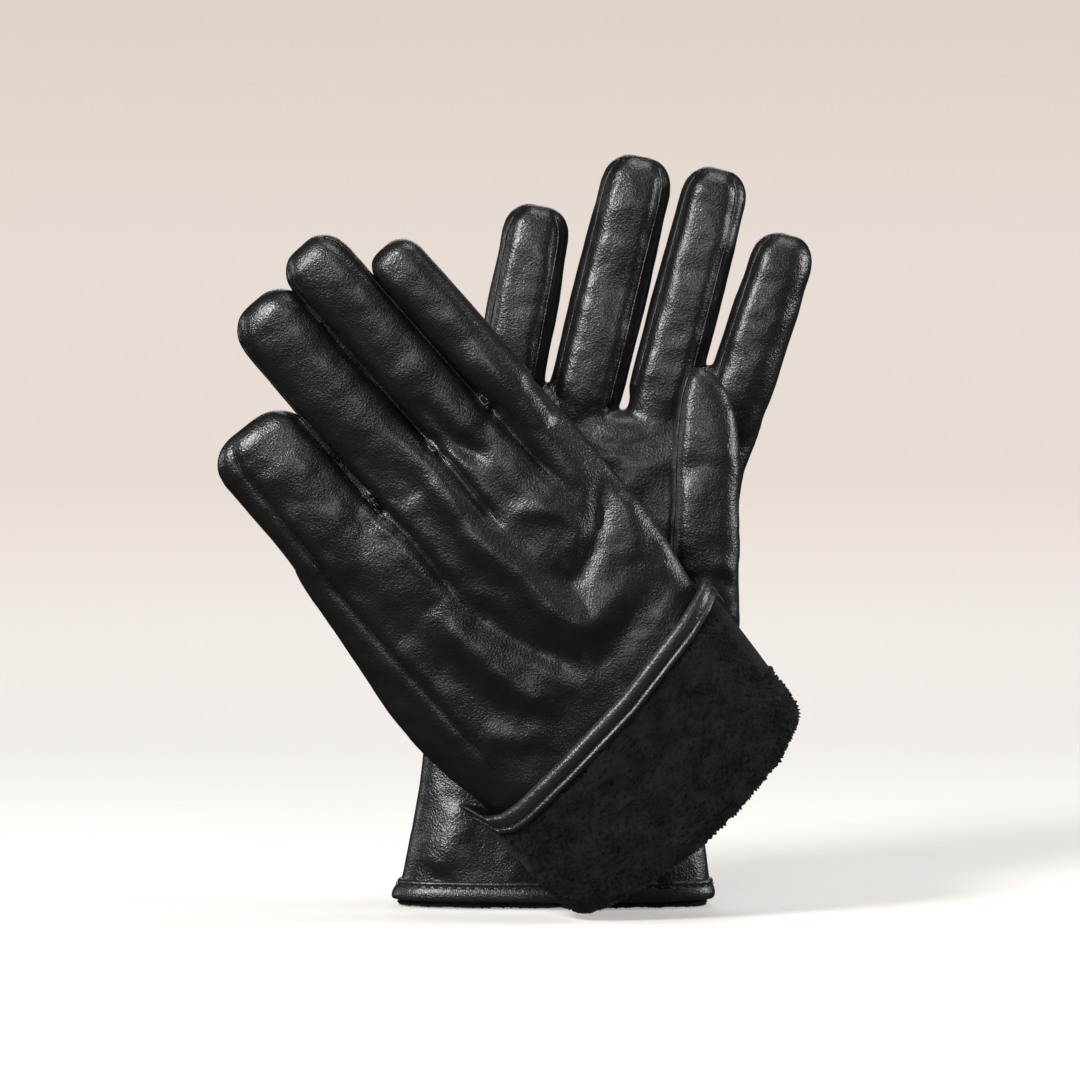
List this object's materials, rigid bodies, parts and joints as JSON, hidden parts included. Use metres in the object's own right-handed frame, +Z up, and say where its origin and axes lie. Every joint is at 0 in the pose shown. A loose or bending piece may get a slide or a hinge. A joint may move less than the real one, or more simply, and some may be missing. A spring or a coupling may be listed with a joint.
{
  "type": "leather gloves",
  "caption": "Pair of plush-lined leather dress gloves standing crossed, one palm forward, one leaning in front with its cuff turned up.",
  "frame": {"origin": "centre of the pair's outline on the surface it stands on", "axes": "+Z up, +X to the right glove's thumb side, -Y towards the front, where the right palm and the left back face"},
  "size_m": [0.199, 0.0845, 0.2547],
  "materials": {
    "leather": "semi-gloss smooth black, fine grain",
    "plush": "black short-pile plush",
    "elastic": "black woven elastic tape"
  },
  "bodies": {
    "right_hand": {"right_back_panel": "leather", "right_cuff_lining": "plush", "right_hand_lining": "plush", "right_hem": "leather", "right_palm_panel": "leather", "right_wrist_elastic": "elastic"},
    "right_thumb": {"right_thumb_inner": "leather", "right_thumb_lining": "plush", "right_thumb_outer": "leather"},
    "right_index": {"right_index_back": "leather", "right_index_fourchette": "leather", "right_index_lining": "plush", "right_index_palm": "leather"},
    "right_middle": {"right_middle_back": "leather", "right_middle_fourchettes": "leather", "right_middle_lining": "plush", "right_middle_palm": "leather"},
    "right_ring": {"right_ring_back": "leather", "right_ring_fourchettes": "leather", "right_ring_lining": "plush", "right_ring_palm": "leather"},
    "right_pinky": {"right_pinky_back": "leather", "right_pinky_fourchette": "leather", "right_pinky_lining": "plush", "right_pinky_palm": "leather"},
    "left_hand": {"left_back_panel": "leather", "left_cuff_leather": "leather", "left_cuff_lining": "plush", "left_hand_lining": "plush", "left_hem": "leather", "left_palm_panel": "leather", "left_wrist_elastic": "elastic"},
    "left_thumb": {"left_thumb_inner": "leather", "left_thumb_lining": "plush", "left_thumb_outer": "leather"},
    "left_index": {"left_index_back": "leather", "left_index_fourchette": "leather", "left_index_lining": "plush", "left_index_palm": "leather"},
    "left_middle": {"left_middle_back": "leather", "left_middle_fourchettes": "leather", "left_middle_lining": "plush", "left_middle_palm": "leather"},
    "left_ring": {"left_ring_back": "leather", "left_ring_fourchettes": "leather", "left_ring_lining": "plush", "left_ring_palm": "leather"},
    "left_pinky": {"left_pinky_back": "leather", "left_pinky_fourchette": "leather", "left_pinky_lining": "plush", "left_pinky_palm": "leather"}
  },
  "joints": [
    {"name": "left_glove_lift", "type": "slide", "parent": "right_hand", "child": "left_hand", "axis": [0, 0, 1], "range_m": [0, 0.28]},
    {"name": "right_index_flex", "type": "hinge", "parent": "right_hand", "child": "right_index", "pos_m": [0.07762, 0.02686, 0.18357], "axis": [0.9513, -0.0269, -0.3072], "range_deg": [0, 50], "stiffness_Nm_per_rad": 0.1},
    {"name": "right_middle_flex", "type": "hinge", "parent": "right_hand", "child": "right_middle", "pos_m": [0.05078, 0.02671, 0.18182], "axis": [0.9678, -0.022, -0.2509], "range_deg": [0, 50], "stiffness_Nm_per_rad": 0.1},
    {"name": "right_ring_flex", "type": "hinge", "parent": "right_hand", "child": "right_ring", "pos_m": [0.02446, 0.02671, 0.18188], "axis": [0.9714, -0.0207, -0.2364], "range_deg": [0, 60], "stiffness_Nm_per_rad": 0.1},
    {"name": "right_pinky_flex", "type": "hinge", "parent": "right_hand", "child": "right_pinky", "pos_m": [-0.00142, 0.02708, 0.18605], "axis": [0.9839, -0.0156, -0.1782], "range_deg": [0, 50], "stiffness_Nm_per_rad": 0.1},
    {"name": "right_thumb_spread", "type": "hinge", "parent": "right_hand", "child": "right_thumb", "pos_m": [0.061, -0.00206, 0.10653], "axis": [0, 0.9962, -0.0872], "range_deg": [-5, 35], "stiffness_Nm_per_rad": 0.2},
    {"name": "left_index_flex", "type": "hinge", "parent": "left_hand", "child": "left_index", "pos_m": [-0.01034, -0.0272, 0.18195], "axis": [-0.7546, 0, -0.6561], "range_deg": [0, 42], "stiffness_Nm_per_rad": 0.1},
    {"name": "left_middle_flex", "type": "hinge", "parent": "left_hand", "child": "left_middle", "pos_m": [-0.02622, -0.0272, 0.16839], "axis": [-0.7513, 0, -0.66], "range_deg": [0, 55], "stiffness_Nm_per_rad": 0.1},
    {"name": "left_ring_flex", "type": "hinge", "parent": "left_hand", "child": "left_ring", "pos_m": [-0.04524, -0.0272, 0.15214], "axis": [-0.7548, 0, -0.6559], "range_deg": [0, 60], "stiffness_Nm_per_rad": 0.1},
    {"name": "left_pinky_flex", "type": "hinge", "parent": "left_hand", "child": "left_pinky", "pos_m": [-0.06663, -0.0272, 0.12991], "axis": [-0.7886, 0, -0.6149], "range_deg": [0, 60], "stiffness_Nm_per_rad": 0.1},
    {"name": "left_thumb_spread", "type": "hinge", "parent": "left_hand", "child": "left_thumb", "pos_m": [0.026, -0.0076, 0.11435], "axis": [0, 1, 0], "range_deg": [-5, 40], "stiffness_Nm_per_rad": 0.2}
  ]
}
